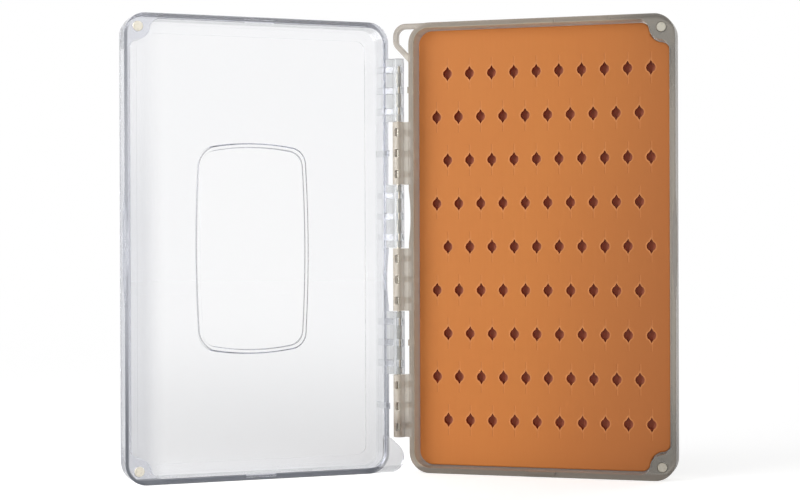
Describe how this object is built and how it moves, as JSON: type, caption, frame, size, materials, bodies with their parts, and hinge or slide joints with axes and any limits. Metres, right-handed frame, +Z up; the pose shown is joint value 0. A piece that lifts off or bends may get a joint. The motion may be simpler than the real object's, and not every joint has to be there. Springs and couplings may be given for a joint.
{
  "type": "fly box",
  "caption": "Book-style fly box on a pin hinge: clear lid, smoke tray with a slitted silicone hook pad, magnet closure, lanyard loop and bare label panel.",
  "frame": {"origin": "centre of the open box's bounding box on the surface that it stands on", "axes": "+Z up along the hinge axis, +X from the lid towards the tray, -Y out of the tray's open side"},
  "size_m": [0.2102, 0.0785, 0.184],
  "materials": {
    "smoke_plastic": "smoke-grey translucent moulding, glossy",
    "clear_plastic": "clear moulding, glossy",
    "pin_steel": "drawn wire",
    "orange_silicone": "matt silicone",
    "nickel": "satin nickel plating"
  },
  "bodies": {
    "base": {"base_shell": "smoke_plastic", "hinge_pin": "pin_steel", "slit_insert": "orange_silicone", "base_magnet_upper": "nickel", "base_magnet_lower": "nickel"},
    "lid": {"lid_shell": "clear_plastic", "lid_magnet_upper": "nickel", "lid_magnet_lower": "nickel"}
  },
  "joints": [
    {"name": "lid_hinge", "type": "hinge", "parent": "base", "child": "lid", "pos_m": [-0.00761, 0.02685, 0.092], "axis": [0, 0, -1], "range_deg": [-144, 36]}
  ]
}
